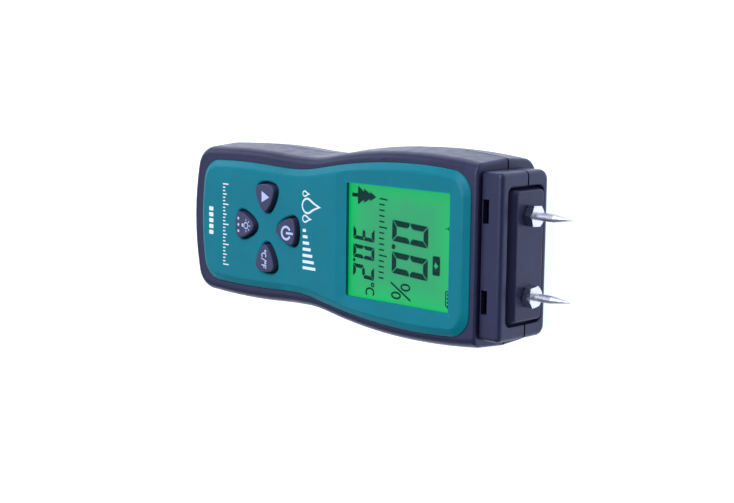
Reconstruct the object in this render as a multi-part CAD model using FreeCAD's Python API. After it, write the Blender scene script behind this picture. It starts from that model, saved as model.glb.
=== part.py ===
"""Pin-type moisture meter, lying on its back.

Millimetres. +X is the meter's right, +Y points to the electrode pins, +Z comes out of its face.
The origin is the centre of the bounding box's bottom, on the surface that the back rests on.
Each sub-part is written to parts/NODE.step.
"""
import FreeCAD, Part
import math
import os
from FreeCAD import Vector

# ---------------------------------------------------------------- driving dimensions

OVERALL_LENGTH = 177.3          # case end to pin tips
CASE_BOTTOM_Y = -OVERALL_LENGTH / 2
PIN_TIP_Y = OVERALL_LENGTH / 2

CASE = dict(                    # outline of the case at its parting plane
    bottom_y=CASE_BOTTOM_Y, end_radius=98.0, corner_radius=9.8,
    grip_w=29.7, grip_y=-55.6, side_low=340.0, grip_high=260.0,
    waist_w=28.5, waist_y=-22.1, waist_high=52.0,
    bulge_w=33.8, bulge_y=30.6, bulge_high=247.0,
    top_y=76.0, top_corner=4.0)
PANEL = dict(                   # outline of the coloured front panel
    bottom_y=-79.3, end_radius=98.0, corner_radius=9.0,
    grip_w=23.8, grip_y=-56.0, side_low=300.0, grip_high=350.0,
    waist_w=23.0, waist_y=-27.9, waist_high=76.0,
    bulge_w=29.1, bulge_y=32.9, bulge_high=186.0,
    top_y=58.0, top_corner=8.5)

WALL = 2.0
SPLIT_Z = 15.8                  # parting plane, through the electrode pins
BORDER_Z = 31.8                 # dark border round the panel
CEILING_Z = 29.3                # inner face of the front wall
SIDE_DRAFT = 1.1                # how far each half leans in
END_LEAN = 2.1                  # how much further the front half's bottom end leans in
FRONT_ROUND = 4.0
BACK_ROUND = 6.5
SHOULDER_Y = 60.3               # end of the case, where the head starts
SHOULDER_ROUND = 1.2
SEAM_GAP = 0.7
SEAM_DEPTH = 0.8

HEAD_HALF_W = 28.4
HEAD_Z = (4.6, 29.5)
HEAD_BASE_Y = 60.75
HEAD_END_Y = 69.1
HEAD_CORNER = 3.6
HEAD_FRONT_CORNER = 1.6
HEAD_END_ROUND = 1.7
NECK_INSET = 0.9
SLOT_X = (11.2, 19.3)           # catches for the clip-on pin cover
SLOT_Y = (61.15, 63.65)
RECESS_HALF_W = 23.4
RECESS_Z = (7.4, 26.0)
RECESS_CORNER = 2.2
RECESS_RIM_ROUND = 0.6

BOSS_FACE_Y = 70.3              # face of the electrode block
BOSS_HALF_W = 21.9
BOSS_Z = (8.6, 22.8)
BOSS_ROOT_GAP = 0.35            # the boss widens towards its root until it nearly fills the recess
BOSS_EDGE_ROUND = 0.9
BLOCK_FLANGE_Y = (63.0, 66.8)
BLOCK_FLANGE_INSET = 2.3        # from the head's faces
BLOCK_RIB = dict(x=21.0, half=0.7, length=3.1)

PIN_PITCH = 27.2
PIN_RADIUS = 1.375
PIN_BASE_Y = 61.6
NUT_Y = (BOSS_FACE_Y + 0.05, BOSS_FACE_Y + 3.25)
NUT_ACROSS_FLATS = 6.9
NUT_TURN = {"left": 4.0, "right": -9.0}   # degrees
CONE_START_Y = 80.4
TIP_RADIUS = 0.08
SOCKET_RADIUS = 3.0
SOCKET_COLLAR = 7.6             # across its flats
SOCKET_Y = (59.4, 69.6)
THREAD_PITCH = 0.7
THREAD_DEPTH = 0.16
PIN_CLEARANCE = 0.05

PANEL_BASE_Z = 31.1
PANEL_TOP_Z = 33.6
PANEL_GAP = 0.15
BEVEL_INSET = 2.7
BEVEL_START_Z = 32.0
BEVEL_ROUND = 2.4
BEVEL_FOOT_ROUND = 0.5
DISPLAY_X = 20.4                # half width of the panel's display opening
DISPLAY_Y = (1.1, 49.65)
DISPLAY_CORNER = 0.7
DISH_Z = 33.0                   # panel surface at the edge of the opening
DISH_REACH = dict(low_y=4.4, high_y=4.3, side=5.2)
DISH_LIP = 0.4

LENS_HALF_X = 23.3
LENS_Y = (-2.9, 51.5)
LENS_Z = (30.6, 31.8)
LENS_CORNER = 2.0
LENS_GAP = 0.3
TAPE_THICKNESS = 0.2
TAPE_WIDTH = 1.4
CELL_HALF_X = 21.2
CELL_Y = (-1.0, 49.6)
CELL_Z = (28.4, 30.4)
CELL_LEDGE = 0.9                # the rear glass stands out past the front one
FRAME_HALF_X = 23.0
FRAME_Y = (-2.9, 51.2)

BOARD_Z = (22.0, 23.6)
BOARD_Y = (-73.3, 51.0)
BOARD_INSET = 4.6
CAPACITORS = [(-4, 34), (0, 34), (4, 34), (12, 34), (-9, 10), (9, 10),
              (14, 22), (-18, 28), (10, -10), (-10, -10)]
LEG_PITCH = 1.1

KEYPAD_CENTRE = (0.0, -39.9)
KEYS = {"up": 180.0, "unit": 0.0, "mode": 270.0, "power": 90.0}   # direction from the keypad's centre
KEY_APEX = 8.3                  # from the keypad's centre to the centre of the apex round
KEY_BROAD = 14.0                # and to the centres of the two corners beyond it
KEY_HALF_W = 2.9
KEY_CORNER = 2.1
KEY_END_BOW = 0.5
KEY_SIDE_BOW = 0.45
KEY_GAP = 0.75
KEY_TOP_Z = 35.3
KEY_EDGE_ROUND = 0.6
KEY_RIM_ROUND = 0.9
KEYPAD_HALF = 18.5
KEY_FLANGE = dict(grow=1.6, z=(27.7, 29.0))
KEY_STEM = dict(radius=2.8, z=(25.2, 27.7))
KEY_PILL = dict(radius=2.5, z=(24.6, 25.2))
KEY_PAD = dict(radius=3.2, z=(23.6, 23.7))
KEY_MIDDLE = 11.6               # from the keypad's centre to each stem

CELL_RADIUS = 5.25              # AAA cell
CELL_LENGTH = 44.5
CELL_NUB = dict(radius=1.9, length=1.3)
CELL_PITCH = 11.0
CELL_AXIS_Z = 7.9
CELLS = {"left": (-CELL_PITCH, 1), "middle": (0.0, -1), "right": (CELL_PITCH, 1)}   # x, nub's way along Y
BAY_HALF_X = 16.9
BAY_Y = (-80.0, -28.4)
BAY_WALL = 2.0
BAY_CEILING_Z = (13.6, 15.1)
CONTACT_THICKNESS = 0.4
CONTACT_HALF = 4.3
TAIL_HALF_X = 1.0               # solder tail of the two end contacts
TAIL_LENGTH = 2.5
TAIL_Z = (CELL_AXIS_Z + 2.4, CELL_AXIS_Z + 2.8)
SPRING = dict(radius=3.0, wire=0.35, turns=4.0)

DOOR_HALF_X = 16.6
DOOR_END_Y = -24.0
DOOR_Z = (0.2, 2.0)
TONGUE_HALF_X = 17.6
TONGUE_Z = (1.2, 1.95)
GROOVE_HALF_X = 17.9
GROOVE_Z = (1.0, 2.15)
DOOR_GAP = 0.3
THUMB_Y = -74.0                 # first of the thumb ridges
ARROW_Y = -58.0

CASE_SCREWS = [(22.0, -77.5), (22.5, 54.8)]
BOARD_SCREWS = [(20.0, -68.5), (26.2, 24.0)]
CASE_SCREW = dict(radius=1.2, head=2.4, head_z=(2.6, 4.6), tip_z=26.0)
BOARD_SCREW = dict(radius=0.9, head=1.9, head_z=(20.7, 22.0), tip_z=28.0)
CASE_TOWER = dict(front=3.0, rear=4.2)
BOARD_TOWER = 2.2
PILOT_SPARE = 0.6

LABEL_HALF_X = 20.0
LABEL_Y = (-14.0, 44.0)
LABEL_Z = (0.1, 0.3)
LABEL_CORNER = 2.0
LABEL_GAP = 0.2

WIRE_RADIUS = 0.6
WIRE_END_Z = BOARD_Z[0] - 0.1
FAR = 200.0                     # larger than anything here

# ---------------------------------------------------------------- helpers


def box(x, y, z):
    """Box from three (low, high) pairs."""
    return Part.makeBox(x[1] - x[0], y[1] - y[0], z[1] - z[0], Vector(x[0], y[0], z[0]))


def span(half):
    return (-half, half)


def wider(pair, margin):
    return (pair[0] - margin, pair[1] + margin)


def rod(radius, x, y, z):
    """Upright cylinder at (x, y) over the pair z."""
    return Part.makeCylinder(radius, z[1] - z[0], Vector(x, y, z[0]))


def rod_y(radius, x, z, y):
    """Cylinder along Y at (x, z) over the pair y."""
    return Part.makeCylinder(radius, y[1] - y[0], Vector(x, y[0], z), Vector(0, 1, 0))


def fuse(shapes):
    return shapes[0].multiFuse(shapes[1:]).removeSplitter() if len(shapes) > 1 else shapes[0]


def mirrored(points):
    return [(side * x, y) for x, y in points for side in (-1, 1)]


def level_edges(shape, z, inside=None):
    """Edges that lie flat at height z, inside the box `inside` if one is given."""
    found = []
    for edge in shape.Edges:
        b = edge.BoundBox
        if abs(b.ZMin - z) < 1e-4 and abs(b.ZMax - z) < 1e-4:
            if inside is None or inside.isInside(b.Center):
                found.append(edge)
    return found


def plane_edges(shape, y):
    """Edges that lie in the plane across Y at y."""
    return [e for e in shape.Edges if abs(e.BoundBox.YMin - y) < 1e-4 and abs(e.BoundBox.YMax - y) < 1e-4]


def rounded_rect(x, y, radius, z):
    """Closed wire: a rectangle over the pairs x and y with round corners, at height z."""
    (x0, x1), (y0, y1) = x, y
    corners = [(x1 - radius, y0 + radius, -90), (x1 - radius, y1 - radius, 0),
               (x0 + radius, y1 - radius, 90), (x0 + radius, y0 + radius, 180)]
    edges, last, first = [], None, None
    for cx, cy, start in corners:
        a, m, b = (Vector(cx + radius * math.cos(math.radians(start + t)),
                          cy + radius * math.sin(math.radians(start + t)), z) for t in (0, 45, 90))
        if last is not None:
            edges.append(Part.makeLine(last, a))
        else:
            first = a
        edges.append(Part.Arc(a, m, b).toShape())
        last = b
    edges.append(Part.makeLine(last, first))
    return Part.Wire(edges)


def rect_plate(x, y, radius, z):
    """Plate with round corners over the pair z."""
    return Part.Face(rounded_rect(x, y, radius, z[0])).extrude(Vector(0, 0, z[1] - z[0]))


# ---------------------------------------------------------------- waisted outlines


def s_curve(dx, dy):
    """Sum of the radii of two tangent arcs that join two upright tangents dx, dy apart."""
    return (dx * dx + dy * dy) / (2 * abs(dx))


def circles_meet(a, ra, b, rb):
    """The meeting point, on the +X side, of two circles."""
    d = b - a
    along = (ra * ra - rb * rb + d.Length ** 2) / (2 * d.Length)
    across = math.sqrt(ra * ra - along * along)
    unit = Vector(d).normalize()
    normal = Vector(unit.y, -unit.x, 0)
    points = [a + unit * along + normal * across * s for s in (1, -1)]
    return max(points, key=lambda p: p.x)


def outline_circles(s):
    """(centre, radius) on the +X side, bottom end to top corner; a hollow arc's radius is negative."""
    waist_low = s_curve(s["grip_w"] - s["waist_w"], s["waist_y"] - s["grip_y"]) - s["grip_high"]
    bulge_low = s_curve(s["bulge_w"] - s["waist_w"], s["bulge_y"] - s["waist_y"]) - s["waist_high"]
    end = (Vector(0, s["bottom_y"] + s["end_radius"], 0), s["end_radius"])
    side = (Vector(s["grip_w"] - s["side_low"], s["grip_y"], 0), s["side_low"])
    rc, rt = s["corner_radius"], s["top_corner"]
    corner = circles_meet(end[0], end[1] - rc, side[0], side[1] - rc)
    bulge = Vector(s["bulge_w"] - s["bulge_high"], s["bulge_y"], 0)
    top_y = s["top_y"] - rt
    top_x = bulge.x + math.sqrt((s["bulge_high"] - rt) ** 2 - (top_y - bulge.y) ** 2)
    return [
        end, (corner, rc), side,
        (Vector(s["grip_w"] - s["grip_high"], s["grip_y"], 0), s["grip_high"]),
        (Vector(s["waist_w"] + waist_low, s["waist_y"], 0), -waist_low),
        (Vector(s["waist_w"] + s["waist_high"], s["waist_y"], 0), -s["waist_high"]),
        (Vector(s["bulge_w"] - bulge_low, s["bulge_y"], 0), bulge_low),
        (bulge, s["bulge_high"]), (Vector(top_x, top_y, 0), rt)]


def arc_middle(centre, radius, start, end):
    toward = ((start - centre).normalize() + (end - centre).normalize()).normalize()
    return centre + toward * abs(radius)


def outline(s, inset, z):
    """Closed wire of tangent arcs: the outline s moved in by inset, at height z."""
    circles = [(c, r - inset) for c, r in outline_circles(s)]
    joints = []
    for (c1, r1), (c2, r2) in zip(circles, circles[1:]):
        (big, rb), (small, _) = sorted([(c1, abs(r1)), (c2, abs(r2))], key=lambda cr: -cr[1])
        joints.append(big + (small - big).normalize() * rb)
    top = Vector(circles[-1][0].x, s["top_y"] - inset, 0)
    joints.append(top)
    right = [(joints[i], arc_middle(*circles[i + 1], joints[i], joints[i + 1]), joints[i + 1])
             for i in range(len(circles) - 1)]
    up = Vector(0, 0, z)

    def flip(p):
        return Vector(-p.x, p.y, 0)

    bottom = (flip(joints[0]), Vector(0, s["bottom_y"] + inset, 0), joints[0])
    left = [tuple(flip(p) for p in reversed(a)) for a in reversed(right)]
    arcs = [Part.Arc(*[p + up for p in a]).toShape() for a in [bottom] + right]
    line = [Part.makeLine(top + up, flip(top) + up)]
    return Part.Wire(arcs + line + [Part.Arc(*[p + up for p in a]).toShape() for a in left])


def prism(s, inset, z):
    """Straight-sided solid of an outline over the pair z."""
    return Part.Face(outline(s, inset, z[0])).extrude(Vector(0, 0, z[1] - z[0]))


def loft(levels):
    """Solid through the outline of each (shape, height, inset)."""
    return Part.makeLoft([outline(s, inset, z) for s, z, inset in levels], True, True)


# ---------------------------------------------------------------- case


def case_solid(shrink, front_z):
    """The whole case without its head, every face moved in by shrink, its front at front_z."""
    back_z = shrink
    leaning = dict(CASE, bottom_y=CASE["bottom_y"] + END_LEAN)
    body = loft([(CASE, back_z, SIDE_DRAFT + shrink), (CASE, SPLIT_Z, shrink),
                 (leaning, front_z, SIDE_DRAFT + shrink)])
    body = body.makeFillet(FRONT_ROUND - shrink, level_edges(body, front_z))
    body = body.makeFillet(BACK_ROUND - shrink, level_edges(body, back_z))
    end_y = SHOULDER_Y - shrink
    body = body.cut(box(span(FAR), (end_y, FAR), span(FAR)))
    if shrink == 0:
        body = body.makeFillet(SHOULDER_ROUND, plane_edges(body, end_y))
    return body


def head_block(inset, y):
    """The head's rounded bar, every side moved in by inset, over the pair y."""
    z = (HEAD_Z[0] + inset, HEAD_Z[1] - inset)
    bar = box(span(HEAD_HALF_W - inset), y, z)
    upright = [e for e in bar.Edges if e.BoundBox.YLength > 1]
    back = [e for e in upright if e.BoundBox.Center.z < SPLIT_Z]
    bar = bar.makeFillet(max(HEAD_CORNER - inset, 1.0), back)
    front = [e for e in bar.Edges if e.BoundBox.YLength > 1 and e.BoundBox.ZLength < 0.1
             and abs(e.BoundBox.ZMax - z[1]) < 1e-4]
    return bar.makeFillet(max(HEAD_FRONT_CORNER - inset, 0.4), front)


def housing_solid():
    """Case, neck and head in one piece, hollowed."""
    outside_head = head_block(0, (HEAD_BASE_Y, HEAD_END_Y))
    outside_head = outside_head.makeFillet(HEAD_END_ROUND, plane_edges(outside_head, HEAD_END_Y))
    neck = head_block(NECK_INSET, (SHOULDER_Y - WALL, HEAD_BASE_Y))
    outside = fuse([case_solid(0, BORDER_Z), neck, outside_head])
    recess = rect_plate(span(RECESS_HALF_W), RECESS_Z, RECESS_CORNER, (0, 4 * WALL))
    recess.rotate(Vector(0, 0, 0), Vector(1, 0, 0), 90)
    recess.translate(Vector(0, HEAD_END_Y + WALL, 0))
    outside = outside.cut(recess)
    outside = outside.makeFillet(RECESS_RIM_ROUND, recess_rim(outside))
    wall = WALL + 0.2
    head_cavity = head_block(wall, (SHOULDER_Y - 2 * WALL, HEAD_END_Y - wall))
    return outside.cut(fuse([case_solid(WALL, CEILING_Z), head_cavity]))


def recess_rim(shape):
    """The recess's edges in the head's end face."""
    edges = []
    for edge in plane_edges(shape, HEAD_END_Y):
        middle = edge.BoundBox.Center
        if abs(middle.x) < RECESS_HALF_W + 0.1 and RECESS_Z[0] - 0.1 < middle.z < RECESS_Z[1] + 0.1:
            edges.append(edge)
    return edges


def seam_groove():
    """The narrow groove that shows where the two halves meet."""
    z = (SPLIT_Z - SEAM_GAP / 2, SPLIT_Z + SEAM_GAP / 2)
    full = box(span(FAR / 2), (CASE_BOTTOM_Y - 5, SHOULDER_Y + 0.01), z)
    body = prism(CASE, SEAM_DEPTH, z).common(box(span(FAR), (-FAR, SHOULDER_Y - SEAM_DEPTH), z))
    head_full = box(span(FAR / 2), (HEAD_BASE_Y, HEAD_END_Y + 5), z)
    head = box(span(HEAD_HALF_W - SEAM_DEPTH), (0, HEAD_END_Y - SEAM_DEPTH), z)
    return [full.cut(body).cut(head), head_full.cut(head)]


def cover_slots(z):
    return [box(sorted((side * SLOT_X[0], side * SLOT_X[1])), SLOT_Y, z) for side in (-1, 1)]


def block_ribs(z):
    """Ribs that the electrode block's flange bears on, over the pair z."""
    y = (BLOCK_FLANGE_Y[0] - 0.1 - BLOCK_RIB["length"], BLOCK_FLANGE_Y[0] - 0.1)
    half = BLOCK_RIB["half"]
    return [box((x - half, x + half), y, z) for x in (-BLOCK_RIB["x"], BLOCK_RIB["x"])]


def front_shell(housing):
    shell = housing.common(box(span(FAR), span(FAR), (SPLIT_Z, FAR)))
    pilot = CASE_SCREW["radius"] + 0.05
    board_pilot = BOARD_SCREW["radius"] + 0.05
    root_z = CEILING_Z + 0.3
    towers = [rod(CASE_TOWER["front"], x, y, (SPLIT_Z, root_z)) for x, y in mirrored(CASE_SCREWS)]
    towers += [rod(BOARD_TOWER, x, y, (BOARD_Z[1], root_z)) for x, y in mirrored(BOARD_SCREWS)]
    towers += block_ribs((SPLIT_Z + 4, CEILING_Z - 1))
    shell = fuse([shell] + towers)
    lens_seat = rect_plate(span(LENS_HALF_X + LENS_GAP), wider(LENS_Y, LENS_GAP), LENS_CORNER,
                           (LENS_Z[0] - TAPE_THICKNESS, FAR / 2))
    window = rect_plate(span(CELL_HALF_X + 0.5), wider(CELL_Y, 0.4), 1.0, (BOARD_Z[0], FAR / 2))
    cuts = [prism(PANEL, -PANEL_GAP, (PANEL_BASE_Z, FAR / 2)), lens_seat, window]
    cuts += [key_prism(name, KEY_GAP, (BOARD_Z[1], FAR / 2)) for name in KEYS]
    cuts += cover_slots((HEAD_Z[1] - 2 * WALL, FAR / 2))
    cuts += [rod(pilot, x, y, (0, CASE_SCREW["tip_z"] + PILOT_SPARE)) for x, y in mirrored(CASE_SCREWS)]
    board_pilot_z = (0, BOARD_SCREW["tip_z"] + PILOT_SPARE)
    cuts += [rod(board_pilot, x, y, board_pilot_z) for x, y in mirrored(BOARD_SCREWS)]
    return shell.cut(Part.makeCompound(cuts + seam_groove()))


def rear_shell(housing):
    shell = housing.common(box(span(FAR), span(FAR), (-FAR, SPLIT_Z)))
    envelope = case_solid(0.5, BORDER_Z)
    outer_x = BAY_HALF_X + BAY_WALL
    low, high = BAY_Y
    floor_z = (WALL / 2, GROOVE_Z[1] + 1.75)
    bay = box(span(outer_x), wider(BAY_Y, BAY_WALL), (floor_z[0], BAY_CEILING_Z[1]))
    foot = box(span(outer_x), (CASE_BOTTOM_Y, low), floor_z).common(envelope)
    sill = box(span(outer_x), (high, DOOR_END_Y + WALL), floor_z)
    towers = [rod(CASE_TOWER["rear"], x, y, (floor_z[0], SPLIT_Z)) for x, y in mirrored(CASE_SCREWS)]
    towers = [tower.common(envelope) for tower in towers]
    shell = fuse([shell, bay, foot, sill] + towers + block_ribs((HEAD_Z[0] + 1, SPLIT_Z - 4)))
    cuts = [box(span(BAY_HALF_X), BAY_Y, (-FAR, BAY_CEILING_Z[0]))]
    cuts.append(box(span(BAY_HALF_X), (-FAR, DOOR_END_Y + DOOR_GAP), (-FAR, GROOVE_Z[1])))
    cuts.append(box(span(GROOVE_HALF_X), (-FAR, DOOR_END_Y + DOOR_GAP), GROOVE_Z))
    cuts += cover_slots((-FAR, HEAD_Z[0] + 2 * WALL))
    head_z = CASE_SCREW["head_z"]
    for x, y in mirrored(CASE_SCREWS):
        cuts.append(rod(CASE_SCREW["head"] + 0.25, x, y, (-FAR / 2, head_z[1])))
        cuts.append(rod(CASE_SCREW["radius"] + 0.3, x, y, (0, SPLIT_Z)))
    cuts.append(rect_plate(span(LABEL_HALF_X + LABEL_GAP), wider(LABEL_Y, LABEL_GAP),
                           LABEL_CORNER + LABEL_GAP, (-WALL, LABEL_Z[1])))
    for x, y in contact_tail_places():
        cuts.append(box(wider((x, x), TAIL_HALF_X + 0.3), wider((y, y), BAY_WALL + 0.6), wider(TAIL_Z, 0.4)))
    return shell.cut(Part.makeCompound(cuts + seam_groove()))


# ---------------------------------------------------------------- panel, display


def front_panel():
    body = loft([(PANEL, PANEL_BASE_Z, 0), (PANEL, BEVEL_START_Z, 0), (PANEL, PANEL_TOP_Z, BEVEL_INSET)])
    body = body.makeFillet(BEVEL_ROUND, level_edges(body, PANEL_TOP_Z))
    body = body.makeFillet(BEVEL_FOOT_ROUND, level_edges(body, BEVEL_START_Z))
    opening = rect_plate(span(DISPLAY_X), DISPLAY_Y, DISPLAY_CORNER, (0, FAR / 4))
    relief = rect_plate(span(LENS_HALF_X + 0.2), wider(LENS_Y, 0.2), LENS_CORNER, (0, LENS_Z[1] + 0.05))
    body = body.cut(Part.makeCompound([display_dish(), opening, relief]))
    body = body.cut(Part.makeCompound([key_prism(name, KEY_GAP, (0, FAR / 4)) for name in KEYS]))
    reach = KEYPAD_HALF + 1
    x, y = KEYPAD_CENTRE
    keypad = FreeCAD.BoundBox(x - reach, y - reach, PANEL_BASE_Z, x + reach, y + reach, KEY_TOP_Z)
    return body.makeFillet(KEY_RIM_ROUND, level_edges(body, PANEL_TOP_Z, keypad))


def display_dish():
    """Wedge cut all round the display opening, twice as tall as the dish so that it clears the panel."""
    rise = PANEL_TOP_Z - DISH_Z
    x, y = DISPLAY_X + DISH_LIP, wider(DISPLAY_Y, DISH_LIP)
    low = rounded_rect(span(x), y, 1.0, DISH_Z)
    far_y = (y[0] - 2 * DISH_REACH["low_y"], y[1] + 2 * DISH_REACH["high_y"])
    high = rounded_rect(span(x + 2 * DISH_REACH["side"]), far_y, 9.0, DISH_Z + 2 * rise)
    return Part.makeLoft([low, high], True, True)


def lens_parts():
    lens = rect_plate(span(LENS_HALF_X), LENS_Y, LENS_CORNER, LENS_Z)
    z = (LENS_Z[0] - TAPE_THICKNESS, LENS_Z[0])
    tape = rect_plate(span(LENS_HALF_X), LENS_Y, LENS_CORNER, z)
    hole = rect_plate(span(LENS_HALF_X - TAPE_WIDTH), wider(LENS_Y, -TAPE_WIDTH), 1.0, z)
    return {"display_lens": lens, "lens_tape": tape.cut(hole)}


def display_parts():
    middle = (CELL_Z[0] + CELL_Z[1]) / 2
    rear_glass = box(span(CELL_HALF_X), CELL_Y, (CELL_Z[0], middle))
    front_glass = box(span(CELL_HALF_X), (CELL_Y[0] + CELL_LEDGE, CELL_Y[1]), (middle, CELL_Z[1]))
    frame_z = (BOARD_Z[1], CEILING_Z - 0.1)
    frame = rect_plate(span(FRAME_HALF_X), FRAME_Y, 1.5, frame_z)
    light_z = (CELL_Z[0] - 2.8, CELL_Z[0] - 0.3)
    frame = frame.cut(box(span(CELL_HALF_X + 0.1), (CELL_Y[0] - 0.1, CELL_Y[1] + 0.1), (light_z[0], FAR / 4)))
    frame = frame.cut(box(span(CELL_HALF_X - 1.7), (CELL_Y[0] - 0.1, CELL_Y[1] + 0.1), (0, FAR / 4)))
    guide = box(span(CELL_HALF_X - 0.4), (CELL_Y[0] + 1.8, CELL_Y[1] - 1.8), light_z)
    film = box(span(CELL_HALF_X - 0.4), (CELL_Y[0] + 1.8, CELL_Y[1] - 1.8), (light_z[1], CELL_Z[0] - 0.1))
    leds = [box((x - 1.6, x + 1.6), (CELL_Y[1] - 1.7, CELL_Y[1] - 0.2), (BOARD_Z[1], light_z[1] - 0.5))
            for x in (-10.0, 10.0)]
    strip = box(span(18.0), (CELL_Y[0] + 0.1, CELL_Y[0] + 1.5), (BOARD_Z[1], CELL_Z[0]))
    return {"lcd_rear_glass": rear_glass, "lcd_front_glass": front_glass, "lcd_frame": frame,
            "backlight_guide": guide, "backlight_diffuser": film, "backlight_leds": Part.makeCompound(leds),
            "lcd_connector_strip": strip}


# ---------------------------------------------------------------- keys


def key_wire(name, grow, z):
    """Rounded pick shape that points at the keypad's centre, as a closed wire at height z."""
    a = Vector(KEY_APEX, 0, 0)
    b, c = Vector(KEY_BROAD, KEY_HALF_W, 0), Vector(KEY_BROAD, -KEY_HALF_W, 0)
    edges = []
    for start, end, bow in ((a, c, KEY_SIDE_BOW), (c, b, KEY_END_BOW), (b, a, KEY_SIDE_BOW)):
        along = (end - start).normalize()
        out = Vector(along.y, -along.x, 0)
        edges.append(Part.Arc(start, (start + end) / 2 + out * bow, end).toShape())
    wire = Part.Wire(edges).makeOffset2D(KEY_CORNER + grow)
    wire.rotate(Vector(0, 0, 0), Vector(0, 0, 1), KEYS[name])
    wire.translate(Vector(KEYPAD_CENTRE[0], KEYPAD_CENTRE[1], z))
    return wire


def key_prism(name, grow, z):
    wire = key_wire(name, grow, z[0])
    return Part.Face(wire).extrude(Vector(0, 0, z[1] - z[0]))


def key_place(name):
    """(x, y) of the key's stem."""
    angle = math.radians(KEYS[name])
    return KEYPAD_CENTRE[0] + KEY_MIDDLE * math.cos(angle), KEYPAD_CENTRE[1] + KEY_MIDDLE * math.sin(angle)


def key_cap(name):
    cap = key_prism(name, 0, (KEY_FLANGE["z"][1] - 0.2, KEY_TOP_Z))
    cap = cap.makeFillet(KEY_EDGE_ROUND, level_edges(cap, KEY_TOP_Z))
    flange = key_prism(name, KEY_FLANGE["grow"], KEY_FLANGE["z"])
    stem = rod(KEY_STEM["radius"], *key_place(name), KEY_STEM["z"])
    return fuse([cap, flange, stem])


def keypad_parts():
    parts = {}
    for name in KEYS:
        parts[f"{name}_key"] = key_cap(name)
        parts[f"{name}_key_contact"] = rod(KEY_PILL["radius"], *key_place(name), KEY_PILL["z"])
    cx, cy = KEYPAD_CENTRE
    web = rect_plate((cx - KEYPAD_HALF, cx + KEYPAD_HALF), (cy - KEYPAD_HALF, cy + KEYPAD_HALF), 4.0,
                     (BOARD_Z[1] + 0.05, KEY_PILL["z"][1]))
    holes = [rod(KEY_STEM["radius"] + 1.0, *key_place(name), (0, FAR / 4)) for name in KEYS]
    parts["keypad_membrane"] = web.cut(Part.makeCompound(holes))
    pads = []
    for name in KEYS:
        disc = rod(KEY_PAD["radius"], *key_place(name), KEY_PAD["z"])
        x, y = key_place(name)
        pads.append(disc.cut(box((x - 0.25, x + 0.25), wider((y, y), 5), (0, FAR / 4))))
    parts["keypad_contact_pads"] = Part.makeCompound(pads)
    return parts


# ---------------------------------------------------------------- board


def board_parts():
    z = BOARD_Z
    board = prism(CASE, BOARD_INSET, z).common(box(span(FAR), BOARD_Y, z))
    holes = [rod(BOARD_SCREW["radius"] + 0.25, x, y, (0, FAR / 4)) for x, y in mirrored(BOARD_SCREWS)]
    board = board.cut(Part.makeCompound(holes))
    under = z[0]
    small = [box((x - 0.9, x + 0.9), (y - 0.6, y + 0.6), (under - 0.8, under)) for x, y in CAPACITORS]
    crystal = box((8.5, 15.5), span(1.5), (under - 2.2, under))
    bead = rod_y(1.1, 19.0, under - 1.1, (40.0, 45.0))
    return {"main_board": board, "controller_chip": chip((0.0, 20.0), 6.0, 10),
            "amplifier_chip": chip((-14.0, 36.0), 2.2, 4), "board_capacitors": Part.makeCompound(small),
            "crystal": crystal, "temperature_sensor": bead}


def chip(place, half, legs):
    """Square package under the board with a row of legs along each side in Y."""
    x, y = place
    under = BOARD_Z[0]
    parts = [box((x - half, x + half), (y - half, y + half), (under - 1.6, under))]
    for i in range(legs):
        at = y + LEG_PITCH * (i - (legs - 1) / 2)
        parts.append(box(wider((x, x), half + 1.3), (at - 0.2, at + 0.2), (under - 0.35, under)))
    return fuse(parts)


def screw(x, y, radius, head, head_z, tip_z):
    """Pan-head screw driven from below."""
    top = rod(head, x, y, head_z)
    top = top.makeFillet(0.5, level_edges(top, head_z[0]))
    slot_depth = (head_z[1] - head_z[0]) * 0.55
    arms = [box((x - a, x + a), (y - b, y + b), (head_z[0] - 1, head_z[0] + slot_depth))
            for a, b in ((head * 0.55, 0.25), (0.25, head * 0.55))]
    shank = rod(radius, x, y, (head_z[1], tip_z - radius))
    tip = Part.makeCone(radius, 0.2, radius, Vector(x, y, tip_z - radius))
    return fuse([top.cut(Part.makeCompound(arms)), shank, tip])


def screws():
    return {
        "case_screws": Part.makeCompound([screw(x, y, **CASE_SCREW) for x, y in mirrored(CASE_SCREWS)]),
        "board_screws": Part.makeCompound([screw(x, y, **BOARD_SCREW) for x, y in mirrored(BOARD_SCREWS)])}


# ---------------------------------------------------------------- battery


def nub_y(way):
    return BAY_Y[1] - CONTACT_THICKNESS - 0.05 if way > 0 else BAY_Y[0] + CONTACT_THICKNESS + 0.05


def battery_parts():
    parts, nubs, springs = {}, [], []
    for name, (x, way) in CELLS.items():
        tip = nub_y(way)
        shoulder = tip - way * CELL_NUB["length"]
        far = tip - way * CELL_LENGTH
        can = rod_y(CELL_RADIUS, x, CELL_AXIS_Z, sorted((far, shoulder)))
        rims = plane_edges(can, far) + plane_edges(can, shoulder)
        parts[f"battery_{name}"] = can.makeFillet(0.4, rims)
        nubs.append(rod_y(CELL_NUB["radius"], x, CELL_AXIS_Z, sorted((shoulder, tip))))
        wall = BAY_Y[0] + CONTACT_THICKNESS if way > 0 else BAY_Y[1] - CONTACT_THICKNESS
        springs.append(coil(x, wall + way * 0.1, far - way * 0.1))
    parts["battery_terminals"] = Part.makeCompound(nubs)
    parts["battery_springs"] = Part.makeCompound(springs)
    return parts


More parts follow.
